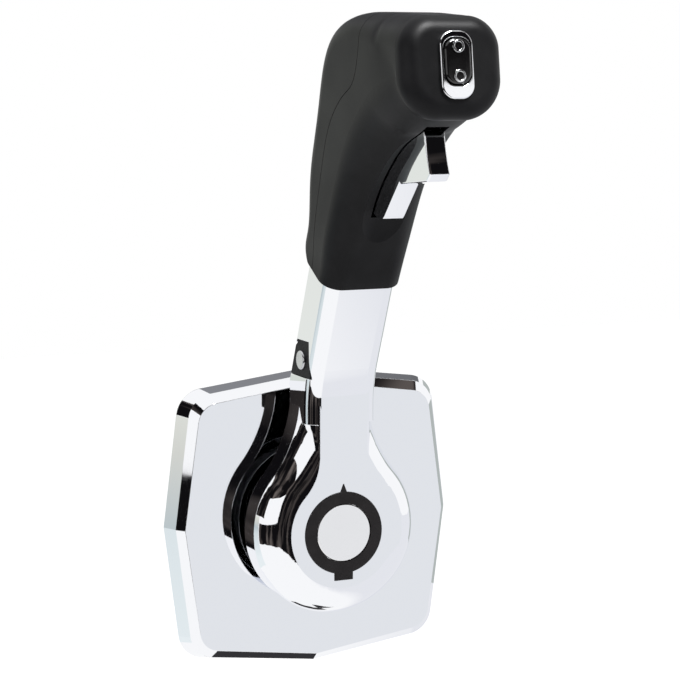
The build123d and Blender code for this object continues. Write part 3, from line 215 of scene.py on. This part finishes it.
def polished_acrylic():
    """Piano-black acrylic rocker: deep black under a hard clear skin."""
    material, tree, shader, place = new_material("polished_acrylic")
    set_inputs(shader, Base_Color=linear("0E0D0E"), IOR=1.49, Coat_Weight=0.6, Coat_Roughness=0.02)
    uneven_roughness(tree, shader, place, 5, 0.05, 0.1)
    return material


def glass_filled_nylon():
    """Glass-filled nylon of the gear housing: matt black with faint grey flow marks."""
    material, tree, shader, place = new_material("glass_filled_nylon")
    mottled_colour(tree, shader, place, 12, "1C1C1E", "262628")
    uneven_roughness(tree, shader, place, 10, 0.5, 0.65)
    grain = add(tree, "ShaderNodeTexNoise", {"Vector": place, "Scale": cells_per_metre(0.7), "Detail": 4.0})
    bump_from(tree, shader, grain.outputs["Fac"], 0.04, 0.6)
    return material


def cast_aluminium():
    """Die-cast aluminium mounting plate, bead blasted: pale grey and evenly pitted."""
    material, tree, shader, place = new_material("cast_aluminium")
    set_inputs(shader, Metallic=1.0)
    mottled_colour(tree, shader, place, 6, "A9ABAE", "BDBFC2")
    uneven_roughness(tree, shader, place, 8, 0.38, 0.52)
    pits = add(tree, "ShaderNodeTexNoise", {"Vector": place, "Scale": cells_per_metre(0.6), "Detail": 5.0})
    bump_from(tree, shader, pits.outputs["Fac"], 0.05, 0.7)
    return material


def steel(name, light_hex, dark_hex, low, high, grain_mm):
    """A machined steel with fine marks along its length."""
    material, tree, shader, place = new_material(name)
    set_inputs(shader, Metallic=1.0)
    mottled_colour(tree, shader, place, 4, dark_hex, light_hex)
    uneven_roughness(tree, shader, place, 3, low, high)
    along = add(tree, "ShaderNodeMapping", {"Vector": place, "Scale": (1.0, 0.12, 1.0)})
    marks = add(
        tree,
        "ShaderNodeTexNoise",
        {"Vector": along.outputs["Vector"], "Scale": cells_per_metre(grain_mm), "Detail": 2.0},
    )
    bump_from(tree, shader, marks.outputs["Fac"], 0.01, 0.5)
    return material


def stainless_steel():
    """Stainless screws, shaft and lock parts: turned bright, with fine marks round them."""
    return steel("stainless_steel", "D2D3D6", "C4C5C8", 0.14, 0.24, 0.3)


def spring_steel():
    """Oil-tempered spring steel: darker, smooth and slightly blue."""
    return steel("spring_steel", "9A9DA4", "83868E", 0.24, 0.34, 0.4)


def hobbed_gear_steel():
    """Carbon steel gears, hobbed and lightly oiled: grey with satin flanks."""
    return steel("hobbed_gear_steel", "A5A5A6", "8F8F91", 0.26, 0.38, 0.5)


def plated_magnet():
    """Nickel-plated sensor magnets: bright and faintly yellow."""
    return steel("plated_magnet", "C9C6BE", "B9B6AE", 0.1, 0.18, 0.8)


def sintered_bronze():
    """Sintered bronze bushes: brown gold, with an open grain that holds oil."""
    material, tree, shader, place = new_material("sintered_bronze")
    set_inputs(shader, Metallic=1.0)
    mottled_colour(tree, shader, place, 0.8, "A27C4C", "BE9860")
    uneven_roughness(tree, shader, place, 2, 0.34, 0.46)
    return material


def plated_brass():
    """Gold-flashed brass contact pins."""
    material, tree, shader, place = new_material("plated_brass")
    set_inputs(shader, Metallic=1.0)
    mottled_colour(tree, shader, place, 1, "D9B25A", "E2C070")
    uneven_roughness(tree, shader, place, 1, 0.14, 0.24)
    return material


def nitrile_rubber():
    """Moulded nitrile gasket, seal and grommets: dead black with a dry bloom."""
    material, tree, shader, place = new_material("nitrile_rubber")
    set_inputs(shader, Specular_IOR_Level=0.3)
    mottled_colour(tree, shader, place, 4, "19191A", "232324")
    uneven_roughness(tree, shader, place, 5, 0.7, 0.85)
    grain = add(tree, "ShaderNodeTexNoise", {"Vector": place, "Scale": cells_per_metre(0.5), "Detail": 4.0})
    bump_from(tree, shader, grain.outputs["Fac"], 0.03, 0.6)
    return material


def acetal():
    """Machined acetal sensor gears, spacer, shoe and pushrod: milky white, waxy."""
    material, tree, shader, place = new_material("acetal")
    set_inputs(shader, IOR=1.48, Subsurface_Weight=0.08, Subsurface_Scale=0.001)
    mottled_colour(tree, shader, place, 6, "DEDCD4", "E8E6DF")
    uneven_roughness(tree, shader, place, 4, 0.32, 0.42)
    return material


def solder_mask():
    """Glass-fibre circuit board under green solder mask, with faint copper tracks beneath it."""
    material, tree, shader, place = new_material("solder_mask")
    set_inputs(shader, Coat_Weight=0.3, Coat_Roughness=0.15)
    tracks = add(
        tree,
        "ShaderNodeTexBrick",
        {
            "Vector": place,
            "Scale": cells_per_metre(40),
            "Color1": linear("14532C"),
            "Color2": linear("17592F"),
            "Mortar": linear("2B7A41"),
            "Mortar Size": 0.01,
        },
    )
    tree.links.new(tracks.outputs["Color"], shader.inputs["Base Color"])
    uneven_roughness(tree, shader, place, 5, 0.25, 0.35)
    return material


# ---------------------------------------------------------------- dressing helpers
def dress(material, *names):
    """Gives CAD nodes a material."""
    for name in names:
        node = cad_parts[name]
        node.data.materials.clear()
        node.data.materials.append(material)


# how far the grip's crown moves up, in mm, at distances in mm out of the panel
CROWN_LIFTS = (
    (58.0, 0.0),
    (66.0, 0.45),
    (74.0, 0.95),
    (82.0, 1.35),
    (90.0, 1.6),
    (98.0, 1.75),
    (108.0, 1.75),
    (114.0, 1.6),
    (116.0, 1.4),
    (118.0, 0.95),
    (120.0, -0.15),
    (122.0, -0.75),
    (124.0, -0.9),
    (127.0, -0.95),
    (130.0, -0.75),
    (133.0, -0.45),
    (136.0, -0.15),
    (139.0, 0.0),
)
# nothing moves below the lower height, and all of it above the upper one, in mm over the shaft
CROWN_LOW, CROWN_HIGH = 198.0, 221.0


def crown_lift(out):
    """How far the crown moves up, in mm, at a distance in mm out of the panel."""
    for (near, low), (far, high) in zip(CROWN_LIFTS, CROWN_LIFTS[1:]):
        if near < out <= far:
            return low + (high - low) * (out - near) / (far - near)
    return 0.0


def crowned_shell(name, node, material):
    """A grip shell whose crown runs from the palm to the head in one line, in place of its node."""
    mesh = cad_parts[node].data.copy()
    mesh.name = name
    mesh.materials.clear()
    mesh.materials.append(material)
    for vertex in mesh.vertices:
        share = min(max((vertex.co.z / MM - CROWN_LOW) / (CROWN_HIGH - CROWN_LOW), 0.0), 1.0)
        share = share * share * (3 - 2 * share)
        vertex.co.z += share * crown_lift(-vertex.co.y / MM) * MM
    shell = bpy.data.objects.new(name, mesh)
    bpy.context.scene.collection.objects.link(shell)
    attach(shell, "lever")
    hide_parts(node)


# ---------------------------------------------------------------- sizes and colours a user may change
class ThrottleStudio(bpy.types.PropertyGroup):
    """The camera, lamps and backdrop round the control"""

    camera_azimuth: bpy.props.FloatProperty(
        name="Camera azimuth",
        description="Camera's turn round the control, left negative",
        default=radians(-23.52),
        subtype="ANGLE",
    )
    camera_elevation: bpy.props.FloatProperty(
        name="Camera elevation", description="Camera's height angle", default=radians(7.57), subtype="ANGLE"
    )
    camera_distance: bpy.props.FloatProperty(
        name="Camera distance",
        description="From the camera to the point it looks at",
        default=0.94,
        unit="LENGTH",
    )
    lens: bpy.props.FloatProperty(name="Lens", description="Focal length in millimetres", default=108.36)
    target: bpy.props.FloatVectorProperty(
        name="Target",
        description="Point the camera looks at",
        default=(0.01652, 0.0, 0.08007),
        subtype="TRANSLATION",
    )
    backdrop: bpy.props.FloatVectorProperty(
        name="Backdrop",
        description="Colour of the backdrop",
        default=(1.0, 1.0, 1.0),
        subtype="COLOR",
        size=3,
    )
    world_strength: bpy.props.FloatProperty(
        name="World light", description="Strength of the even light from all round", default=0.62, min=0.0
    )
    key_power: bpy.props.FloatProperty(
        name="Key lamp", description="Power of the main lamp", default=9.0, unit="POWER"
    )


# ---------------------------------------------------------------- operators, one for each group of pieces
class THROTTLE_OT_chrome(bpy.types.Operator):
    """Finish the chromed cover plate, lever, trigger, switch bezel and rocker pips"""

    bl_idname = "throttle.chrome"
    bl_label = "Chromed Castings"

    def execute(self, context):
        dress(chromed_casting(), "cover_plate", "lever_arm", "lock_trigger", "switch_bezel", "rocker_pips")
        return {"FINISHED"}


class THROTTLE_OT_centre(bpy.types.Operator):
    """Finish the black ring, the bright button in the middle of the hub, and the small black plastics"""

    bl_idname = "throttle.centre"
    bl_label = "Centre Ring and Button"

    def execute(self, context):
        dress(turned_aluminium(), "warm_up_button")
        dress(moulded_black_nylon(), "hub_ring", "trim_switch_body", "warm_up_switch", "hall_sensors")
        dress(matt_black_acetal(), "access_plug")
        return {"FINISHED"}


class THROTTLE_OT_grip(bpy.types.Operator):
    """Finish the palm grip's two shells, with an even crown"""

    bl_idname = "throttle.grip"
    bl_label = "Palm Grip"

    def execute(self, context):
        coat = soft_touch_grip()
        dress(coat, "front_grip", "rear_grip")
        for name, node in (("front_palm_shell", "front_grip"), ("rear_palm_shell", "rear_grip")):
            crowned_shell(name, node, coat)
        return {"FINISHED"}


class THROTTLE_OT_rocker(bpy.types.Operator):
    """Finish the trim switch's rocker"""

    bl_idname = "throttle.rocker"
    bl_label = "Trim Rocker"

    def execute(self, context):
        dress(polished_acrylic(), "trim_rocker")
        return {"FINISHED"}


class THROTTLE_OT_fasteners(bpy.types.Operator):
    """Finish the stainless screws, shaft and lock parts, and the springs"""

    bl_idname = "throttle.fasteners"
    bl_label = "Screws, Shaft and Springs"

    def execute(self, context):
        dress(
            stainless_steel(),
            "access_plug_screw",
            "board_screws",
            "detent_screw",
            "friction_locknut",
            "friction_screw",
            "grip_screws",
            "housing_screws",
            "hub_nut",
            "hub_washer",
            "lid_screws",
            "lock_ring",
            "lock_ring_screws",
            "lock_rod",
            "main_shaft",
            "rocker_pin",
            "stop_pin",
        )
        dress(spring_steel(), "button_spring", "detent_spring", "lock_spring", "shaft_circlip")
        return {"FINISHED"}


class THROTTLE_OT_mechanism(bpy.types.Operator):
    """Finish the gears, bushes, magnets, circuit board and contact pins"""

    bl_idname = "throttle.mechanism"
    bl_label = "Gears and Sensors"

    def execute(self, context):
        dress(hobbed_gear_steel(), "detent_disc", "drive_gear", "gear_key")
        dress(
            acetal(),
            "button_pushrod",
            "friction_shoe",
            "gear_spacer",
            "sensor_gear_left",
            "sensor_gear_right",
        )
        dress(plated_magnet(), "sensor_magnet_left", "sensor_magnet_right")
        dress(sintered_bronze(), "front_bush", "lock_rod_guide", "rear_bush", "sensor_bushes")
        dress(solder_mask(), "sensor_board")
        dress(plated_brass(), "socket_pins")
        return {"FINISHED"}


class THROTTLE_OT_housing(bpy.types.Operator):
    """Finish the mounting plate, housing, lid, socket and rubber parts"""

    bl_idname = "throttle.housing"
    bl_label = "Housing and Seals"

    def execute(self, context):
        dress(cast_aluminium(), "mounting_plate")
        dress(glass_filled_nylon(), "gear_housing", "harness_socket", "housing_lid")
        dress(nitrile_rubber(), "cover_grommets", "panel_gasket", "shaft_seal")
        return {"FINISHED"}


# ---------------------------------------------------------------- the studio's cloths and floor
def around(azimuth, elevation, distance, target=(0.0, 0.0, 0.0)):
    """The point at an azimuth, left negative, an elevation and a distance from a target."""
    a, e = radians(azimuth), radians(elevation)
    return Vector(target) + distance * Vector((sin(a) * cos(e), -cos(a) * cos(e), sin(e)))


def glowing(name, hex_colour):
    """A plain cloth that shows one colour whatever the light."""
    material = bpy.data.materials.new(name)
    material.use_nodes = True
    tree = material.node_tree
    tree.nodes.clear()
    glow = add(tree, "ShaderNodeEmission", {"Color": linear(hex_colour), "Strength": 1.0})
    add(tree, "ShaderNodeOutputMaterial", {"Surface": glow.outputs["Emission"]})
    return material, tree, glow


def streaked_black():
    """The dark room behind the lens: near black, with upright greys where its furniture stands."""
    material, tree, glow = glowing("dark_room", "121113")
    place = add(tree, "ShaderNodeTexCoord").outputs["Object"]
    # streaks about 0.25 m wide, and six times as tall
    upright = add(tree, "ShaderNodeMapping", {"Vector": place, "Scale": (1.0, 1.0, 0.16)})
    streaks = add(
        tree,
        "ShaderNodeTexNoise",
        {"Vector": upright.outputs["Vector"], "Scale": cells_per_metre(250), "Detail": 3.0},
    )
    ramp = add(tree, "ShaderNodeValToRGB", {"Fac": streaks.outputs["Fac"]})
    ramp.color_ramp.elements[0].position = 0.5
    ramp.color_ramp.elements[0].color = linear("100F11")
    ramp.color_ramp.elements[1].position = 0.72
    ramp.color_ramp.elements[1].color = linear("6E6662")
    tree.links.new(ramp.outputs["Color"], glow.inputs["Color"])
    return material


def graded_cloth(name, axis, stops):
    """A pale cloth whose colour runs through several shades, each at a place along an axis in metres."""
    material, tree, glow = glowing(name, stops[0][1])
    place = add(tree, "ShaderNodeTexCoord").outputs["Object"]
    along = add(tree, "ShaderNodeSeparateXYZ", {"Vector": place}).outputs[axis]
    low, high = stops[0][0], stops[-1][0]
    share = add(tree, "ShaderNodeMapRange", {"Value": along, "From Min": low, "From Max": high})
    shade = add(tree, "ShaderNodeValToRGB", {"Fac": share.outputs["Result"]})
    ramp = shade.color_ramp
    while len(ramp.elements) < len(stops):
        ramp.elements.new(0.5)
    for element, (height, colour) in zip(ramp.elements, stops):
        element.position = (height - low) / (high - low)
        element.color = linear(colour)
    tree.links.new(shade.outputs["Color"], glow.inputs["Color"])
    return material


# cloths hang this far from the point they are seen from, in metres, and are made of this many strips
CLOTH_DISTANCE = 1.3
CLOTH_STEPS = 12


def cloth(name, azimuths, elevations, material, distance=CLOTH_DISTANCE, seen_from=(0.0, 0.0, 0.0)):
    """A curved cloth between two azimuths and two elevations seen from a point, which only mirrors see."""
    shares = [step / CLOTH_STEPS for step in range(CLOTH_STEPS + 1)]
    turns = [azimuths[0] + (azimuths[1] - azimuths[0]) * share for share in shares]
    rises = [elevations[0] + (elevations[1] - elevations[0]) * share for share in shares]
    row = len(shares)
    mesh = bpy.data.meshes.new(name)
    mesh.from_pydata(
        [around(turn, rise, distance, seen_from) for rise in rises for turn in turns],
        [],
        [
            (row * up + along, row * up + along + 1, row * (up + 1) + along + 1, row * (up + 1) + along)
            for up in range(CLOTH_STEPS)
            for along in range(CLOTH_STEPS)
        ],
    )
    mesh.materials.append(material)
    hung = bpy.data.objects.new(name, mesh)
    bpy.context.scene.collection.objects.link(hung)
    hung.visible_camera = False
    hung.visible_diffuse = False
    hung.visible_shadow = False


# the dark room that the chrome mirrors, round one bright window: name, azimuths and elevations
DARK_ROOM = (
    ("room_front", (-38, 13), (-20, 46)),
    ("room_under_window", (-100, -38), (-20, 0)),
    ("room_over_window", (-100, -38), (27, 46)),
    ("room_left_of_window", (-112, -88), (6, 46)),
    ("room_right", (13, 62), (21.0, 50)),
    ("room_high_right", (66, 96), (46, 62)),
)


def hang_cloths():
    """What the chrome mirrors: the dark room with its window, and pale cloths for the rest."""
    room = streaked_black()
    for name, azimuths, elevations in DARK_ROOM:
        cloth(name, azimuths, elevations, room)
    lavender = glowing("lavender_cloth", "E8EAED")[0]
    slate = graded_cloth("slate_cloth", "X", ((-0.4, "A0A2A7"), (0.3, "86878B"), (0.75, "6C6D70")))
    shade = glowing("shade_cloth", "353436")[0]
    sage = graded_cloth(
        "sage_cloth",
        "Z",
        ((-0.36, "EEF5F6"), (-0.12, "D6E0E2"), (-0.05, "BCC8CC"), (0.02, "D8D9D2"), (0.09, "EDEFE6")),
    )
    rear = graded_cloth("grey_cloth", "Z", ((-0.4, "EEF0EC"), (0.5, "E0E4DB")))
    rim = glowing("rim_cloth", "B4BAB8")[0]
    cloth("front_cloth", (13, 60), (-20, 9), lavender)
    cloth("left_cloth", (-134, -100), (-40, 6), sage, 0.7)
    cloth("rear_left_cloth", (-178, -134), (-18, 34), rear)
    cloth("right_rim_cloth", (115, 140), (-18, 12), rim)
    cloth("rear_high_cloth", (128, 184), (20, 50), slate)
    # dark strips near the floor, placed for the plate's lower bevel and the hub's lower rim
    cloth("bevel_shade", (120, 146), (-77, -61), shade, 0.41, (-0.03, -0.005, -0.065))
    cloth("rim_shade", (150, 184), (-61, -49), shade, 0.49, (-0.015, -0.03, -0.036))


def rays_of_kind(tree, *kinds):
    """One for rays of any of these kinds, such as "Is Glossy Ray", and nought for all others."""
    path = add(tree, "ShaderNodeLightPath")
    found = path.outputs[kinds[0]]
    for kind in kinds[1:]:
        either = add(tree, "ShaderNodeMath", {0: found, 1: path.outputs[kind]}, operation="MAXIMUM")
        found = either.outputs["Value"]
    return found


def white_floor():
    """A matt white floor that takes the shadow, white to the lens and a shade off white in mirrors."""
    material, tree, shader, place = new_material("white_floor")
    set_inputs(shader, Base_Color=linear("F2F2F2"), Roughness=0.9, Specular_IOR_Level=0.1)
    set_inputs(shader, Emission_Color=linear("FFFFFF"))
    # the floor itself gives half of white to the lens, and what light falls on it gives the rest
    lens = rays_of_kind(tree, "Is Camera Ray")
    lift = add(tree, "ShaderNodeMath", {0: lens, 1: 0.5}, operation="MULTIPLY")
    tree.links.new(lift.outputs["Value"], shader.inputs["Emission Strength"])
    # mirrors see it white to the left, and a shade darker to the right of the lever
    across = add(tree, "ShaderNodeSeparateXYZ", {"Vector": place}).outputs["X"]
    share = add(tree, "ShaderNodeMapRange", {"Value": across, "From Min": 0.24, "From Max": 0.36})
    shade = add(tree, "ShaderNodeMix", {"Factor": share.outputs["Result"]}, data_type="RGBA")
    shade.inputs["A"].default_value = linear("FFFFFF")
    shade.inputs["B"].default_value = linear("EBECF0")
    plain = add(tree, "ShaderNodeEmission", {"Strength": 1.0})
    tree.links.new(shade.outputs["Result"], plain.inputs["Color"])
    mirrored = rays_of_kind(tree, "Is Glossy Ray", "Is Transmission Ray")
    either = add(
        tree, "ShaderNodeMixShader", {0: mirrored, 1: shader.outputs["BSDF"], 2: plain.outputs["Emission"]}
    )
    surface = next(node for node in tree.nodes if node.type == "OUTPUT_MATERIAL").inputs["Surface"]
    tree.links.new(either.outputs["Shader"], surface)
    return material


def lay_floor():
    """A square floor under the control, out of the camera's way."""
    half_side, height = 4.0, -0.5
    mesh = bpy.data.meshes.new("floor")
    corners = [(x * half_side, y * half_side, 0) for x, y in ((-1, -1), (1, -1), (1, 1), (-1, 1))]
    mesh.from_pydata(corners, [], [(0, 1, 2, 3)])
    mesh.materials.append(white_floor())
    floor = bpy.data.objects.new("floor", mesh)
    bpy.context.scene.collection.objects.link(floor)
    floor.location = (0.0, 0.0, height)


# ---------------------------------------------------------------- the studio's camera, air and lamps
def aim(obj, target):
    """Turns a camera or lamp to look at a point."""
    obj.rotation_euler = (target - obj.location).to_track_quat("-Z", "Y").to_euler()


def place_camera(scene, studio, target):
    """The scene's camera."""
    camera = bpy.data.objects.new("camera", bpy.data.cameras.new("camera"))
    scene.collection.objects.link(camera)
    camera.data.lens = studio.lens
    camera.data.sensor_width = 36.0
    camera.data.clip_start = 0.05
    camera.data.clip_end = 20.0
    azimuth, elevation = degrees(studio.camera_azimuth), degrees(studio.camera_elevation)
    camera.location = around(azimuth, elevation, studio.camera_distance, target)
    aim(camera, target)
    scene.camera = camera


def fill_air(scene, studio):
    """White behind the control and in its mirrors, and a softer light on what is not metal."""
    world = bpy.data.worlds.new("studio_air")
    world.use_nodes = True
    scene.world = world
    tree = world.node_tree
    tree.nodes.clear()
    seen = rays_of_kind(tree, "Is Camera Ray", "Is Glossy Ray", "Is Transmission Ray")
    air = add(tree, "ShaderNodeBackground", {"Color": linear("FFFFFF"), "Strength": studio.world_strength})
    white = add(tree, "ShaderNodeBackground", {"Color": (*studio.backdrop, 1.0), "Strength": 1.0})
    either = add(
        tree, "ShaderNodeMixShader", {0: seen, 1: air.outputs["Background"], 2: white.outputs["Background"]}
    )
    add(tree, "ShaderNodeOutputWorld", {"Surface": either.outputs["Shader"]})


# name, azimuth, elevation, size in metres, and share of the main lamp's power
LAMPS = (
    ("key_lamp", 20, 55, 0.6, 1.0),
    ("side_lamp", -75, 20, 0.5, 0.45),
    ("rear_lamp", 150, 40, 0.5, 0.5),
    # a high lamp that only puts the glint along the top of the black head
    ("glint_lamp", 15, 55, 0.35, 3.3),
)
LAMP_DISTANCE = 1.2


def hang_lamps(scene, studio, target):
    """Soft square lamps. Mirrors see only the one that makes the glint, and nothing else is lit by it."""
    for name, azimuth, elevation, size, share in LAMPS:
        lamp = bpy.data.lights.new(name, "AREA")
        lamp.energy = studio.key_power * share
        lamp.size = size
        holder = bpy.data.objects.new(name, lamp)
        scene.collection.objects.link(holder)
        holder.location = around(azimuth, elevation, LAMP_DISTANCE, target)
        aim(holder, target)
        holder.visible_glossy = name == "glint_lamp"
        holder.visible_diffuse = name != "glint_lamp"
        holder.visible_camera = False


class THROTTLE_OT_stage(bpy.types.Operator):
    """Set up the camera, the lamps, the pale floor and backdrop, and the cloths that chrome mirrors"""

    bl_idname = "throttle.stage"
    bl_label = "Studio"

    def execute(self, context):
        scene = context.scene
        studio = scene.throttle_studio
        target = Vector(studio.target)
        scene.view_settings.view_transform = "Standard"
        place_camera(scene, studio, target)
        fill_air(scene, studio)
        hang_lamps(scene, studio, target)
        hang_cloths()
        lay_floor()
        return {"FINISHED"}


class THROTTLE_PT_panel(bpy.types.Panel):
    """The control's groups of pieces and its studio"""

    bl_idname = "THROTTLE_PT_panel"
    bl_label = "Throttle Control"
    bl_space_type = "VIEW_3D"
    bl_region_type = "UI"
    bl_category = "Throttle"

    def draw(self, context):
        layout = self.layout
        for operator in operators:
            layout.operator(operator.bl_idname)
        studio = context.scene.throttle_studio
        for name in (
            "camera_azimuth",
            "camera_elevation",
            "camera_distance",
            "lens",
            "target",
            "backdrop",
            "world_strength",
            "key_power",
        ):
            layout.prop(studio, name)


operators = (
    THROTTLE_OT_chrome,
    THROTTLE_OT_centre,
    THROTTLE_OT_grip,
    THROTTLE_OT_rocker,
    THROTTLE_OT_fasteners,
    THROTTLE_OT_mechanism,
    THROTTLE_OT_housing,
    THROTTLE_OT_stage,
)
classes = (ThrottleStudio, *operators, THROTTLE_PT_panel)


def register():
    for cls in classes:
        bpy.utils.register_class(cls)
    bpy.types.Scene.throttle_studio = bpy.props.PointerProperty(type=ThrottleStudio)


def unregister():
    del bpy.types.Scene.throttle_studio
    for cls in reversed(classes):
        bpy.utils.unregister_class(cls)


def main():
    register()
    for operator in operators:
        group, name = operator.bl_idname.split(".")
        getattr(getattr(bpy.ops, group), name)()


if __name__ == "__main__":
    main()
